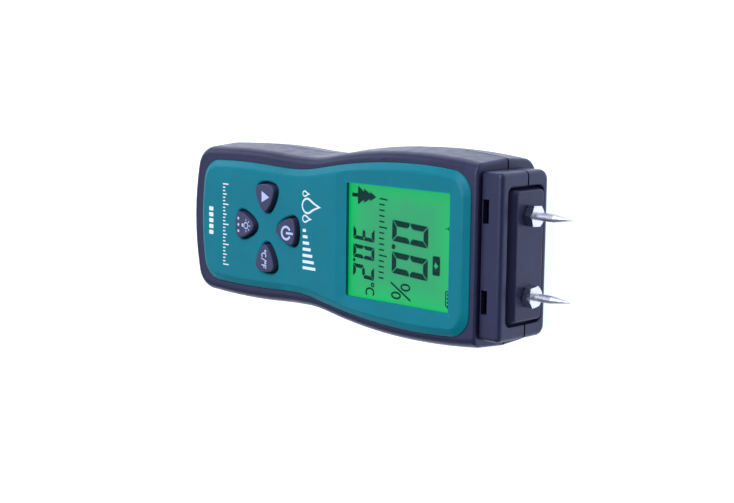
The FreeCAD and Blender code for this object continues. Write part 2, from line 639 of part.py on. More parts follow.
def coil(x, start, end):
    """Round-wire spring along Y between two heights of its wire's faces."""
    wire_r, radius = SPRING["wire"], SPRING["radius"]
    way = 1 if end > start else -1
    height = abs(end - start) - 2 * wire_r
    pitch = height / SPRING["turns"]
    helix = Part.makeHelix(pitch, height, radius)
    along = Vector(0, 2 * math.pi * radius, pitch)
    profile = Part.Wire(Part.makeCircle(wire_r, Vector(radius, 0, 0), along))
    spring = helix.makePipeShell([profile], True, True)
    spring.rotate(Vector(0, 0, 0), Vector(1, 0, 0), -90 * way)
    spring.translate(Vector(x, start + way * wire_r, CELL_AXIS_Z))
    return spring


def contact_tail_places():
    """(x, y of the wall) of the two plates that are wired to the board."""
    return [(-CELL_PITCH, BAY_Y[1]), (CELL_PITCH, BAY_Y[0])]


def contact_plates():
    half = CONTACT_HALF
    z = (CELL_AXIS_Z - half, CELL_AXIS_Z + half)
    high = (BAY_Y[1] - CONTACT_THICKNESS, BAY_Y[1])
    low = (BAY_Y[0], BAY_Y[0] + CONTACT_THICKNESS)
    plates = [box((-CELL_PITCH - half, -CELL_PITCH + half), high, z),
              box((-half, CELL_PITCH + half), high, z),
              box((-CELL_PITCH - half, half), low, z),
              box((CELL_PITCH - half, CELL_PITCH + half), low, z)]
    reach = BAY_WALL + TAIL_LENGTH
    tails = [box(wider((-CELL_PITCH, -CELL_PITCH), TAIL_HALF_X), (high[0], BAY_Y[1] + reach), TAIL_Z),
             box(wider((CELL_PITCH, CELL_PITCH), TAIL_HALF_X), (BAY_Y[0] - reach, low[1]), TAIL_Z)]
    return Part.makeCompound([fuse([plates[0], tails[0]]), plates[1], plates[2], fuse([plates[3], tails[1]])])


def battery_door():
    """Slides off over the bottom end; its tongues run in the shell's grooves."""
    skin = case_solid(0, BORDER_Z)
    plate = box(span(DOOR_HALF_X), (-FAR, DOOR_END_Y), DOOR_Z)
    tongues = box(span(TONGUE_HALF_X), (-FAR, DOOR_END_Y), TONGUE_Z)
    door = fuse([plate, tongues]).common(skin)
    ridges = []
    for i in range(6):
        y = THUMB_Y + 2.0 * i
        ridges.append(box(span(9.0 - 0.7 * i), (y, y + 0.9), (-1, DOOR_Z[0] + 0.5)))
    start = Vector(-2.6, ARROW_Y, 0)
    triangle = Part.makePolygon([start, Vector(2.6, ARROW_Y, 0), Vector(0, ARROW_Y - 4.0, 0), start])
    arrow = Part.Face(triangle).extrude(Vector(0, 0, DOOR_Z[0] + 0.3))
    return door.cut(Part.makeCompound(ridges + [arrow]))


def rear_label():
    return rect_plate(span(LABEL_HALF_X), LABEL_Y, LABEL_CORNER, LABEL_Z)


# ---------------------------------------------------------------- electrodes


def pin_x(side):
    return -PIN_PITCH / 2 if side == "left" else PIN_PITCH / 2


def electrode_block():
    """Insulating block: a flange held inside the head and a boss that stands out of the recess."""
    inset = BLOCK_FLANGE_INSET
    flange = box(span(HEAD_HALF_W - inset - 0.9), BLOCK_FLANGE_Y, (HEAD_Z[0] + inset, HEAD_Z[1] - inset))
    root_y = BLOCK_FLANGE_Y[1] - 0.2
    root = rounded_rect(span(RECESS_HALF_W - BOSS_ROOT_GAP), wider(RECESS_Z, -BOSS_ROOT_GAP),
                        RECESS_CORNER, root_y - BOSS_FACE_Y)
    face = rounded_rect(span(BOSS_HALF_W), BOSS_Z, 1.6, 0)
    boss = Part.makeLoft([root, face], True, True)
    boss = boss.makeFillet(BOSS_EDGE_ROUND, level_edges(boss, 0))
    # drawn face up with the outline's Z along Y; the mirror plane y = z swaps the two
    boss = boss.mirror(Vector(0, 0, 0), Vector(0, 1, -1))
    boss.translate(Vector(0, BOSS_FACE_Y, 0))
    block = fuse([flange, boss])
    bores = [rod_y(SOCKET_RADIUS + 0.03, pin_x(s), SPLIT_Z, (0, SOCKET_Y[1])) for s in NUT_TURN]
    bores += [rod_y(PIN_RADIUS + 0.25, pin_x(s), SPLIT_Z, (0, FAR / 2)) for s in NUT_TURN]
    return block.cut(Part.makeCompound(bores))


def hex_prism(across_flats, turn, x, z, y):
    """Hexagonal bar along Y."""
    radius = across_flats / math.sqrt(3)
    corners = [Vector(x + radius * math.cos(math.radians(90 + turn + 60 * i)), y[0],
                      z + radius * math.sin(math.radians(90 + turn + 60 * i))) for i in range(7)]
    return Part.Face(Part.makePolygon(corners)).extrude(Vector(0, y[1] - y[0], 0))


def hex_nut(side):
    """Lock nut with both ends turned to a chamfer."""
    x, y = pin_x(side), NUT_Y
    nut = hex_prism(NUT_ACROSS_FLATS, NUT_TURN[side], x, SPLIT_Z, y)
    corner = NUT_ACROSS_FLATS / math.sqrt(3) + 0.01
    flat = NUT_ACROSS_FLATS / 2 * 0.97
    slope = (corner - flat) * 0.6
    along = Vector(0, 1, 0)
    turned = fuse([Part.makeCone(flat, corner, slope, Vector(x, y[0], SPLIT_Z), along),
                   rod_y(corner, x, SPLIT_Z, wider(y, -slope)),
                   Part.makeCone(corner, flat, slope, Vector(x, y[1] - slope, SPLIT_Z), along)])
    return nut.common(turned).cut(rod_y(PIN_RADIUS + 0.02, x, SPLIT_Z, (0, FAR / 2)))


def electrode_pin(side):
    """Steel needle: threaded foot, plain shank, long cone."""
    x = pin_x(side)
    along = Vector(0, 1, 0)
    thread_end = NUT_Y[1]
    root = PIN_RADIUS - THREAD_DEPTH
    shank = rod_y(PIN_RADIUS, x, SPLIT_Z, (thread_end, CONE_START_Y))
    cone_start = Vector(x, CONE_START_Y, SPLIT_Z)
    cone = Part.makeCone(PIN_RADIUS, TIP_RADIUS, PIN_TIP_Y - CONE_START_Y, cone_start, along)
    count = round((thread_end - PIN_BASE_Y) / THREAD_PITCH)
    half = (thread_end - PIN_BASE_Y) / count / 2
    turns = []
    for i in range(count):
        y = PIN_BASE_Y + 2 * half * i
        turns.append(Part.makeCone(PIN_RADIUS, root, half, Vector(x, y, SPLIT_Z), along))
        turns.append(Part.makeCone(root, PIN_RADIUS, half, Vector(x, y + half, SPLIT_Z), along))
    return fuse([shank, cone] + turns)


def electrode_socket(side):
    x = pin_x(side)
    body = rod_y(SOCKET_RADIUS, x, SPLIT_Z, SOCKET_Y)
    collar = hex_prism(SOCKET_COLLAR, 0, x, SPLIT_Z, (SOCKET_Y[0], BLOCK_FLANGE_Y[0] - 0.05))
    bore = rod_y(PIN_RADIUS + PIN_CLEARANCE, x, SPLIT_Z, (SOCKET_Y[0] + 0.8, FAR / 2))
    return fuse([body, collar]).cut(bore)


def solder_tag(side):
    x, y = pin_x(side), (SOCKET_Y[0] - 0.55, SOCKET_Y[0] - 0.05)
    ring = rod_y(3.2, x, SPLIT_Z, y)
    tail = box((x - 1.2, x + 1.2), y, (SPLIT_Z, SPLIT_Z + 5.4))
    return fuse([ring, tail]).cut(rod_y(1.0, x, SPLIT_Z, (0, FAR / 2)))


# ---------------------------------------------------------------- wires


def wire_tube(points):
    """Round insulated wire: straight runs joined by tangent arcs as large as the runs allow."""
    pts = [Vector(*p) for p in points]
    edges, start = [], pts[0]
    for before, here, after in zip(pts, pts[1:], pts[2:]):
        u, v = (here - before).normalize(), (after - here).normalize()
        turn = u.getAngle(v)
        cut = 0.45 * min((here - before).Length, (after - here).Length)
        radius = cut / math.tan(turn / 2)
        a, b = here - u * cut, here + v * cut
        bisector = (v - u).normalize()
        middle = here + bisector * (radius / math.cos(turn / 2) - radius)
        edges.append(Part.makeLine(start, a))
        edges.append(Part.Arc(a, middle, b).toShape())
        start = b
    edges.append(Part.makeLine(start, pts[-1]))
    path = Part.Wire(edges)
    profile = Part.Wire(Part.makeCircle(WIRE_RADIUS, pts[0], pts[1] - pts[0]))
    return path.makePipeShell([profile], True, False)


def wires():
    """Leads from the solder tags and the end contacts up to the board."""
    parts = {}
    tag_y = SOCKET_Y[0]
    for side in NUT_TURN:
        x = pin_x(side)
        way = math.copysign(1, x)
        parts[f"electrode_wire_{side}"] = wire_tube([
            (x, tag_y - 1.3, SPLIT_Z + 4.6), (x, tag_y - 5.0, SPLIT_Z + 2.4),
            (x + way * 1.5, tag_y - 8.9, SPLIT_Z - 0.6), (x + way * 2.5, tag_y - 13.6, SPLIT_Z + 1.6),
            (x + way * 2.5, tag_y - 13.6, WIRE_END_Z)])
    tail_z = CELL_AXIS_Z + 3.5
    high = BAY_Y[1] + BAY_WALL + 1.6
    parts["battery_wire_positive"] = wire_tube([
        (-CELL_PITCH, high, tail_z), (-CELL_PITCH - 0.6, high + 1.0, tail_z + 3.4),
        (-CELL_PITCH, high + 4.0, tail_z + 6.4), (-CELL_PITCH, high + 4.0, WIRE_END_Z)])
    low = BAY_Y[0] - BAY_WALL - 1.6
    parts["battery_wire_negative"] = wire_tube([
        (CELL_PITCH, low, tail_z), (CELL_PITCH, low - 0.4, tail_z + 4.0),
        (CELL_PITCH - 0.8, low + 4.6, tail_z + 7.4), (CELL_PITCH - 1.2, low + 11.0, tail_z + 7.6),
        (CELL_PITCH - 1.2, low + 13.2, tail_z + 8.6), (CELL_PITCH - 1.2, low + 13.2, WIRE_END_Z)])
    return parts


# ---------------------------------------------------------------- assembly


def build():
    housing = housing_solid()
    parts = {"front_shell": front_shell(housing), "rear_shell": rear_shell(housing),
             "front_panel": front_panel(), "battery_door": battery_door(), "rear_label": rear_label(),
             "battery_contact_plates": contact_plates(), "electrode_block": electrode_block()}
    for side in NUT_TURN:
        parts[f"{side}_pin"] = electrode_pin(side)
        parts[f"{side}_hex_nut"] = hex_nut(side)
        parts[f"{side}_socket"] = electrode_socket(side)
        parts[f"{side}_solder_tag"] = solder_tag(side)
    for group in (lens_parts, display_parts, keypad_parts, board_parts, screws, battery_parts, wires):
        parts.update(group())
    return parts


def main():
    os.makedirs("parts", exist_ok=True)
    for name, shape in sorted(build().items()):
        b = shape.BoundBox
        print(f"{name:26s} solids {len(shape.Solids):2d} valid {shape.isValid()} volume {shape.Volume:9.1f} "
              f"x {b.XMin:6.1f} {b.XMax:6.1f} y {b.YMin:6.1f} {b.YMax:6.1f} z {b.ZMin:5.1f} {b.ZMax:5.1f}")
        shape.exportStep(f"parts/{name}.step")


main()
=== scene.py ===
"""The looks of the pin-type moisture meter: materials, printed marks, display, light and camera.

Metres, in the CAD frame: +X is the meter's right, +Y points to the pins, +Z comes out of its face.
The printed marks are drawn in millimetres in the same frame.
"""

import math

import bpy
from mathutils import Matrix, Vector


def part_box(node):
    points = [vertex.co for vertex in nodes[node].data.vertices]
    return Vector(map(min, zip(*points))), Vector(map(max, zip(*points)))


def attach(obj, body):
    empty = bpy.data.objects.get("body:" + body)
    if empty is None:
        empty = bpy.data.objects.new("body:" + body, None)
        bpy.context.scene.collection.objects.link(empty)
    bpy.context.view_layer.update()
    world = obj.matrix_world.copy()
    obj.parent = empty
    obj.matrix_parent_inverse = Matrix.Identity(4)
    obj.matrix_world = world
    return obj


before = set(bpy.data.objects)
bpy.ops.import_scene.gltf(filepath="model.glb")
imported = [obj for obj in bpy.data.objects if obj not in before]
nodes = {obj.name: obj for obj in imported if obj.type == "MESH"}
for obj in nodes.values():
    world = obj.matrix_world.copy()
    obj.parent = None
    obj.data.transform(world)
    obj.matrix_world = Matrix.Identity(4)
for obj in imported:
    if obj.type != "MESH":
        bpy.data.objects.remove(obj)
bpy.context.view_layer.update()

MM = 0.001

# Thin marks
INK = 0.03 * MM                    # thickness of a printed mark
SEGMENT_INK = 0.05 * MM            # thickness of the display's segments
FLOAT = 0.012 * MM                 # gap that keeps a mark off the surface under it

# Colours, linear
CASE_COLOUR = (0.017, 0.018, 0.048)
BLOCK_COLOUR = (0.016, 0.017, 0.046)
PANEL_COLOUR = (0.001, 0.180, 0.230)
KEY_COLOUR = (0.050, 0.053, 0.108)
GLOSS_TINT = (0.62, 0.69, 1.0, 1.0)      # cool sheen of the moulded faces
# colour of the painted highlight on sharp metal edges
METAL_EDGE_HIGHLIGHT_COLOUR = (0.85, 0.85, 0.90)
PLASTIC_EDGE_HIGHLIGHT_GAIN = 1.9                     # how much lighter the painted highlight on sharp edges is than the plain colour
LCD_MIDDLE = (0.050, 0.47, 0.20)
LCD_EDGE = (0.001, 0.78, 0.17)
SEGMENT_COLOUR = (0.0, 0.030, 0.022)
MARK_COLOUR = (0.78, 0.86, 0.92)
KEY_MARK_COLOUR = (0.50, 0.58, 0.84)
FLOOR_COLOUR = (0.40, 0.40, 0.41)
FLOOR_GLOW = (0.80, 0.86, 1.0, 1.0)      # the table is a lit sweep
WORLD_COLOUR = (0.80, 0.86, 1.0)

# Strengths
DISPLAY_GLOW = 0.56
FLOOR_GLOW_STRENGTH = 1.15
WORLD_STRENGTH = 0.22
WINDOW_ALPHA = 0.004               # how much of the window's own mirror image is seen

# Sizes of the patterns in the materials
CLOUD_SIZE = 14 * MM               # uneven colour of moulded parts
GLOSS_SIZE = 4 * MM                # uneven gloss of moulded parts
STAIN_SIZE = 2.2 * MM              # tarnish on metal
TOOL_MARK_SIZE = 0.25 * MM

# Painted highlight on sharp edges: the pointiness where it starts and where it is full, and how much shows at
# most
PLASTIC_EDGE_HIGHLIGHT_SPAN = (0.52, 0.60, 0.25)
METAL_EDGE_HIGHLIGHT_SPAN = (0.52, 0.58, 0.7)

# Lights: name, place, aim, size, watts, colour; metres
LIGHTS = [
    ("softbox_top", (-0.25, -0.05, 1.2), (0, 0, 0.02), (0.8, 0.8), 9.0, (0.94, 0.96, 1.0)),
    ("softbox_left", (-0.85, 0.0, 0.75), (0, 0, 0.02), (0.7, 0.7), 7.8, (0.78, 0.85, 1.0)),
    ("softbox_back", (-0.55, -0.85, 0.40), (0, 0.05, 0.02), (0.5, 0.3), 1.3, (0.88, 0.92, 1.0)),
    ("softbox_far", (0.18, -0.82, 0.86), (0, 0, 0.02), (0.9, 0.6), 1.9, (0.76, 0.81, 1.0))]

# Floor
FLOOR_SIZE = 6.0                   # metres square
FLOOR_Z = -0.1 * MM                # just under the meter's back

# Camera
CAMERA_PLACE = (-75.34, 381.35, 417.45)         # millimetres
CAMERA_FORWARD = (0.1459, -0.6858, -0.7130)
CAMERA_RIGHT = (-0.0120, 0.7195, -0.6944)       # squared up to the forward direction below
LENS_MM, SENSOR_MM = 75.01, 36.0
CLIP = (0.01, 20.0)                             # nearest and farthest shown, metres

# ---------------------------------------------------------------- node helpers


class Nodes:
    """Builds one material's node tree with short calls. Patterns lie in the object's own coordinates."""

    def __init__(self, name):
        self.material = bpy.data.materials.new(name)
        self.material.use_nodes = True
        self.tree = self.material.node_tree
        self.shader = self.tree.nodes["Principled BSDF"]
        self.place = self.add("ShaderNodeTexCoord").outputs["Object"]

    def add(self, kind, **settings):
        node = self.tree.nodes.new(kind)
        for key, value in settings.items():
            setattr(node, key, value)
        return node

    def link(self, source, target):
        self.tree.links.new(source, target)

    def noise(self, size, detail=3.0, rough=0.5, stretch=(1, 1, 1)):
        """Noise whose blobs are about size metres across; its value is 0 to 1."""
        mapping = self.add("ShaderNodeMapping")
        mapping.inputs["Scale"].default_value = stretch
        self.link(self.place, mapping.inputs["Vector"])
        node = self.add("ShaderNodeTexNoise")
        node.inputs["Scale"].default_value = 1 / size
        node.inputs["Detail"].default_value = detail
        node.inputs["Roughness"].default_value = rough
        self.link(mapping.outputs["Vector"], node.inputs["Vector"])
        return node.outputs["Fac"]

    def bands(self, scale):
        """Waves across the object's Y axis, 0 to 1."""
        node = self.add("ShaderNodeTexWave", wave_type="BANDS", bands_direction="Y")
        node.inputs["Scale"].default_value = scale
        self.link(self.place, node.inputs["Vector"])
        return node.outputs["Fac"]

    def ramp(self, fac, stops):
        """Colour of fac through stops, a list of (position, colour)."""
        node = self.add("ShaderNodeValToRGB")
        elements = node.color_ramp.elements
        while len(elements) < len(stops):
            elements.new(0.5)
        for element, (position, colour) in zip(elements, stops):
            element.position = position
            element.color = (*colour, 1)
        self.link(fac, node.inputs["Fac"])
        return node.outputs["Color"]

    def span(self, value, low, high, to_low=0.0, to_high=1.0):
        """value moved from the range low to high onto to_low to to_high, and kept inside it."""
        node = self.add("ShaderNodeMapRange")
        for key, number in zip(("From Min", "From Max", "To Min", "To Max"), (low, high, to_low, to_high)):
            node.inputs[key].default_value = number
        self.link(value, node.inputs["Value"])
        return node.outputs["Result"]

    def maths(self, operation, a, b):
        node = self.add("ShaderNodeMath", operation=operation)
        for socket, value in zip(node.inputs, (a, b)):
            if isinstance(value, (int, float)):
                socket.default_value = value
            else:
                self.link(value, socket)
        return node.outputs["Value"]

    def mix(self, fac, a, b, blend_type="MIX"):
        """a where fac is 0, b where it is 1; fac is a number or a socket, a and b are colours or sockets."""
        node = self.add("ShaderNodeMix", data_type="RGBA", blend_type=blend_type)
        for socket, value in ((node.inputs["Factor"], fac), (node.inputs["A"], a), (node.inputs["B"], b)):
            if isinstance(value, (int, float)):
                socket.default_value = value
            elif isinstance(value, tuple):
                socket.default_value = (*value, 1)
            else:
                self.link(value, socket)
        return node.outputs["Result"]

    def axis(self, letter):
        split = self.add("ShaderNodeSeparateXYZ")
        self.link(self.place, split.inputs[0])
        return split.outputs[letter]

    def colour(self, source):
        if isinstance(source, tuple):
            self.shader.inputs["Base Color"].default_value = (*source, 1)
        else:
            self.link(source, self.shader.inputs["Base Color"])

    def set(self, **values):
        """Plain values on the shader's sockets, an underscore for each space in a socket's name."""
        for key, value in values.items():
            self.shader.inputs[key.replace("_", " ")].default_value = value

    def bump(self, height, distance):
        node = self.add("ShaderNodeBump")
        node.inputs["Distance"].default_value = distance
        self.link(height, node.inputs["Height"])
        self.link(node.outputs["Normal"], self.shader.inputs["Normal"])

    def roughness(self, source, low, high):
        """Roughness between low and high, following a noise."""
        self.link(self.span(source, 0.3, 0.7, low, high), self.shader.inputs["Roughness"])

    def painted_edge_highlight(self, start, full, most):
        """Mask of the painted edge highlight: 0 on flat faces, rising to most on sharp outer edges."""
        pointiness = self.add("ShaderNodeNewGeometry").outputs["Pointiness"]
        return self.maths("MULTIPLY", self.span(pointiness, start, full), most)


def shade(colour, factor):
    return tuple(channel * factor for channel in colour)


def moulded(name, colour, rough, grain, depth, spread=0.08, specular=0.5):
    """Moulded plastic or rubber: spark-eroded grain, faint cloudiness in colour and gloss, a painted
    highlight on sharp edges.
    """
    n = Nodes(name)
    fine = n.noise(grain, 4.0, 0.6)
    tone = n.ramp(n.noise(CLOUD_SIZE), [(0.3, shade(colour, 1 - spread)), (0.7, shade(colour, 1 + spread))])
    speck = n.ramp(fine, [(0.35, (0.86, 0.86, 0.86)), (0.65, (1.0, 1.0, 1.0))])
    # sharp edges are lightened toward a brighter copy of the colour: a painted highlight
    n.colour(n.mix(n.painted_edge_highlight(*PLASTIC_EDGE_HIGHLIGHT_SPAN), n.mix(0.6, tone, speck, "MULTIPLY"), shade(colour, PLASTIC_EDGE_HIGHLIGHT_GAIN)))
    n.roughness(n.noise(GLOSS_SIZE, 4.0), rough - 0.05, rough + 0.05)
    n.bump(fine, depth)
    n.set(Specular_IOR_Level=specular, Specular_Tint=GLOSS_TINT)
    return n.material


def metal(name, colour, rough, stretch=(1, 1, 1), depth=0.004 * MM, tarnish=0.1):
    """Turned or plated metal with fine tool marks, a little tarnish and a bright painted highlight on sharp
    edges.
    """
    n = Nodes(name)
    marks = n.noise(TOOL_MARK_SIZE, 4.0, 0.6, stretch)
    tone = n.ramp(n.noise(STAIN_SIZE, 4.0), [(0.3, shade(colour, 1 - tarnish)), (0.6, colour)])
    # sharp edges are lightened toward a pale colour: a painted highlight
    n.colour(n.mix(n.painted_edge_highlight(*METAL_EDGE_HIGHLIGHT_SPAN), tone, METAL_EDGE_HIGHLIGHT_COLOUR))
    n.roughness(marks, max(rough - 0.05, 0.02), rough + 0.07)
    n.bump(marks, depth)
    n.set(Metallic=1.0)
    return n.material


def ink(name, colour, rough=0.5):
    """Screen-printed mark with slightly uneven cover."""
    n = Nodes(name)
    n.colour(n.ramp(n.noise(0.5 * MM), [(0.3, shade(colour, 0.9)), (0.7, colour)]))
    n.roughness(n.noise(0.3 * MM), rough - 0.06, rough + 0.06)
    n.set(Specular_IOR_Level=0.05)
    return n.material


# ---------------------------------------------------------------- materials


def lit_display():
    """The lit cell: an even green that is deeper and purer toward the window's edges."""
    n = Nodes("lcd_lit")
    low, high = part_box("lcd_front_glass")

    def off_centre(axis, start, end):
        """0 in the middle, 1 at both ends, and low over most of the way."""
        return n.maths("POWER", n.maths("ABSOLUTE", n.span(n.axis(axis), start, end, -1, 1), 0), 3.0)

    far = n.maths("MAXIMUM", off_centre("X", low.x, high.x), off_centre("Y", low.y, high.y))
    cloud = n.maths("MULTIPLY", n.span(n.noise(16 * MM, 2.0), 0.3, 0.7, -1, 1), 0.12)
    green = n.ramp(n.maths("ADD", far, cloud), [(0.15, LCD_MIDDLE), (0.95, LCD_EDGE)])
    n.colour(shade(LCD_MIDDLE, 0.25))
    n.link(green, n.shader.inputs["Emission Color"])
    n.set(Emission_Strength=DISPLAY_GLOW, Roughness=0.35, Specular_IOR_Level=0.05)
    n.bump(n.noise(0.12 * MM), 0.001 * MM)
    return n.material


def clear_window():
    """Clear acrylic: it adds only a faint mirror image to what lies under it."""
    n = Nodes("window_clear")
    n.colour((0.93, 1.0, 0.97))
    n.roughness(n.noise(6 * MM), 0.05, 0.09)
    n.bump(n.noise(9 * MM, 2.0), 0.004 * MM)
    n.set(Alpha=WINDOW_ALPHA, Metallic=1.0)
    return n.material


def circuit_board():
    """Green solder mask over traces laid out like brickwork, with a few gilt vias."""
    n = Nodes("board_mask")
    brick = n.add("ShaderNodeTexBrick", offset=0.35, squash=0.7)
    brick.inputs["Scale"].default_value = 140.0
    brick.inputs["Mortar Size"].default_value = 0.012
    n.link(n.place, brick.inputs["Vector"])
    dots = n.add("ShaderNodeTexVoronoi")
    dots.inputs["Scale"].default_value = 160.0
    n.link(n.place, dots.inputs["Vector"])
    via = n.span(dots.outputs["Distance"], 0.07, 0.10, 1, 0)
    base = n.mix(brick.outputs["Fac"], (0.010, 0.105, 0.045), (0.030, 0.20, 0.085))
    n.colour(n.mix(via, base, (0.62, 0.48, 0.20)))
    n.bump(n.noise(0.4 * MM), 0.01 * MM)
    n.set(Roughness=0.35, Coat_Weight=0.3, Coat_Roughness=0.2)
    return n.material


def cell_sleeve():
    """Printed sleeve of a dry cell: a dark body with fine print lines, copper toward +Y."""
    n = Nodes("cell_sleeve")
    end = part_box("battery_left")[1].y
    copper, soft = 14 * MM, 0.4 * MM                         # length of the copper part, its fading edge
    band = n.span(n.axis("Y"), end - copper, end - copper + soft)
    lines = n.ramp(n.bands(95.0), [(0.90, (0.016, 0.018, 0.022)), (0.97, (0.10, 0.10, 0.11))])
    n.colour(n.mix(band, lines, (0.46, 0.20, 0.07)))
    n.roughness(n.noise(3 * MM), 0.22, 0.34)
    n.bump(n.noise(5 * MM), 0.01 * MM)
    n.set(Metallic=0.4, Coat_Weight=0.5, Coat_Roughness=0.12)
    return n.material


def label_film():
    """Blank rating label: silver-grey film with a block of ruled lines, no lettering."""
    n = Nodes("label_film")
    low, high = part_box("rear_label")
    line = n.span(n.bands(50.0), 0.86, 0.90)
    side, foot, head = 5.4 * MM, 9.0 * MM, 24.2 * MM         # margins of the block of lines
    soft = 0.2 * MM                                          # width of its fading edge
    inside_x = n.span(n.maths("ABSOLUTE", n.axis("X"), 0), high.x - side, high.x - side + soft, 1, 0)
    low_y = n.span(n.axis("Y"), low.y + foot, low.y + foot + soft)
    high_y = n.span(n.axis("Y"), high.y - head, high.y - head + soft, 1, 0)
    where = n.maths("MULTIPLY", n.maths("MULTIPLY", inside_x, low_y), high_y)
    film = n.ramp(n.noise(9 * MM), [(0.3, (0.36, 0.38, 0.41)), (0.7, (0.42, 0.44, 0.47))])
    n.colour(n.mix(n.maths("MULTIPLY", line, where), film, (0.05, 0.055, 0.07)))
    n.roughness(n.noise(0.6 * MM), 0.32, 0.44)
    n.bump(n.noise(0.3 * MM), 0.004 * MM)
    return n.material


def outside_materials():
    """What the closed meter shows."""
    case = moulded("case_plastic", CASE_COLOUR, 0.38, 0.28 * MM, 0.012 * MM)
    block = moulded("block_plastic", BLOCK_COLOUR, 0.34, 0.22 * MM, 0.008 * MM, specular=0.42)
    panel = moulded("panel_plastic", PANEL_COLOUR, 0.34, 0.16 * MM, 0.003 * MM, spread=0.05, specular=0.22)
    lit = lit_display()
    grinding = (0.3, 3.0, 0.3)               # draws the needles' tool marks out round them
    return {
        "front_shell": case, "rear_shell": case, "battery_door": case,
        "electrode_block": block, "front_panel": panel,
        "key": moulded("key_rubber", KEY_COLOUR, 0.50, 0.12 * MM, 0.005 * MM, specular=0.4),
        "display_lens": clear_window(),
        "lcd_front_glass": lit, "lcd_rear_glass": lit,
        "rear_label": label_film(),
        "pin": metal("pin_steel", (0.66, 0.66, 0.76), 0.42, stretch=grinding, depth=0.003 * MM),
        "hex_nut": metal("nut_plating", (0.37, 0.37, 0.44), 0.16, tarnish=0.06)}


def inside_materials():
    """What is under the case."""
    dark = moulded("black_plastic", (0.012, 0.012, 0.013), 0.45, 0.2 * MM, 0.006 * MM)
    white = moulded("white_plastic", (0.70, 0.70, 0.67), 0.42, 0.25 * MM, 0.006 * MM, spread=0.04)
    guide = moulded("light_guide", (0.55, 0.68, 0.58), 0.12, 0.5 * MM, 0.002 * MM, spread=0.03)
    steel = metal("plated_steel", (0.66, 0.66, 0.66), 0.26)
    return {
        "lens_tape": dark, "lcd_frame": white, "backlight_diffuser": white,
        "backlight_guide": guide,
        "backlight_leds": moulded("led_resin", (0.80, 0.72, 0.30), 0.2, 0.4 * MM, 0.002 * MM),
        "lcd_connector_strip": moulded("zebra_rubber", (0.35, 0.35, 0.37), 0.6, 0.2 * MM, 0.004 * MM),
        "keypad_membrane": moulded("membrane_rubber", (0.14, 0.15, 0.17), 0.6, 0.2 * MM, 0.004 * MM),
        "contact": moulded("carbon_pill", (0.012, 0.012, 0.012), 0.7, 0.1 * MM, 0.004 * MM),
        "keypad_contact_pads": metal("gold_plate", (0.86, 0.62, 0.25), 0.25),
        "main_board": circuit_board(),
        "controller_chip": dark, "amplifier_chip": dark, "temperature_sensor": dark,
        "board_capacitors": moulded("ceramic", (0.30, 0.19, 0.11), 0.4, 0.15 * MM, 0.003 * MM),
        "crystal": steel, "board_screws": steel,
        "case_screws": metal("zinc_screws", (0.60, 0.60, 0.62), 0.30, tarnish=0.25),
        "battery": cell_sleeve(), "battery_terminals": steel, "battery_contact_plates": steel,
        "battery_springs": metal("spring_wire", (0.72, 0.72, 0.73), 0.2),
        "socket": metal("turned_brass", (0.80, 0.58, 0.25), 0.24),
        "solder_tag": metal("tinned", (0.68, 0.68, 0.66), 0.34),
        "electrode_wire": moulded("wire_white", (0.62, 0.62, 0.60), 0.45, 0.3 * MM, 0.004 * MM),
        "battery_wire_positive": moulded("wire_red", (0.42, 0.012, 0.010), 0.45, 0.3 * MM, 0.004 * MM),
        "battery_wire_negative": dark}


def material_for(node, materials):
    """The material whose key is the node's name, else the longest key that the name holds."""
    if node in materials:
        return materials[node]
    return materials[max((key for key in materials if key in node), key=len)]


def dress_cad():
    """One material on each CAD node, whose shape stays as it is."""
    materials = {**outside_materials(), **inside_materials()}
    for name, obj in nodes.items():
        obj.data.materials.clear()
        obj.data.materials.append(material_for(name, materials))


# ---------------------------------------------------------------- flat marks, in millimetres


def arc(centre, radius, start, end, count):
    """Points on an arc, angles in degrees."""
    return [(centre[0] + radius * math.cos(math.radians(start + (end - start) * i / count)),
             centre[1] + radius * math.sin(math.radians(start + (end - start) * i / count)))
            for i in range(count + 1)]


def oval(centre, rx, ry):
    """Points round an ellipse with these half-widths."""
    turns = [2 * math.pi * i / 32 for i in range(32)]
    return [(centre[0] + rx * math.cos(t), centre[1] + ry * math.sin(t)) for t in turns]


def circle(centre, radius):
    return oval(centre, radius, radius)


def oval_ring(centre, rx, ry, width):
    """Two loops, width apart, on both sides of the ellipse."""
    return [oval(centre, rx + grow, ry + grow) for grow in (width / 2, -width / 2)]


def ring(centre, radius, width):
    return oval_ring(centre, radius, radius, width)


def stroke(points, width, round_ends=True):
    """Outline of an open line of this width, mitred at its corners, with round or square ends."""
    pts = [Vector(p) for p in points]
    left, right = [], []
    for i, p in enumerate(pts):
        before = (p - pts[i - 1]).normalized() if i else (pts[1] - p).normalized()
        after = (pts[i + 1] - p).normalized() if i + 1 < len(pts) else before
        along = (before + after).normalized()
        normal = Vector((-along.y, along.x)) * (width / 2 / max(along.dot(after), 0.3))
        left.append(p + normal)
        right.append(p - normal)

    def cap(end, inner):
        turn = math.degrees(math.atan2(end.y - inner.y, end.x - inner.x))
        return arc(end, width / 2, turn + 90, turn - 90, 8)[1:-1] if round_ends else []

    return ([tuple(p) for p in left] + cap(pts[-1], pts[-2])
            + [tuple(p) for p in reversed(right)] + cap(pts[0], pts[1]))


def bar(x0, y0, x1, y1):
    """Rectangle between two opposite corners."""
    return [(x0, y0), (x1, y0), (x1, y1), (x0, y1)]


def round_bar(x0, y0, x1, y1, r):
    """Rectangle between two opposite corners, with corners of radius r."""
    corners = [((x1 - r, y0 + r), -90), ((x1 - r, y1 - r), 0),
               ((x0 + r, y1 - r), 90), ((x0 + r, y0 + r), 180)]
    return [p for centre, start in corners for p in arc(centre, r, start, start + 90, 6)]


def droplet(x, y, r):
    """Water drop whose round part has radius r and whose tip points to +Y."""
    tip = y + 2.35 * r
    shoulder = y + 1.25 * r
    return arc((x, y), r, 155, 385, 28) + [(x + 0.42 * r, shoulder), (x, tip), (x - 0.42 * r, shoulder)]


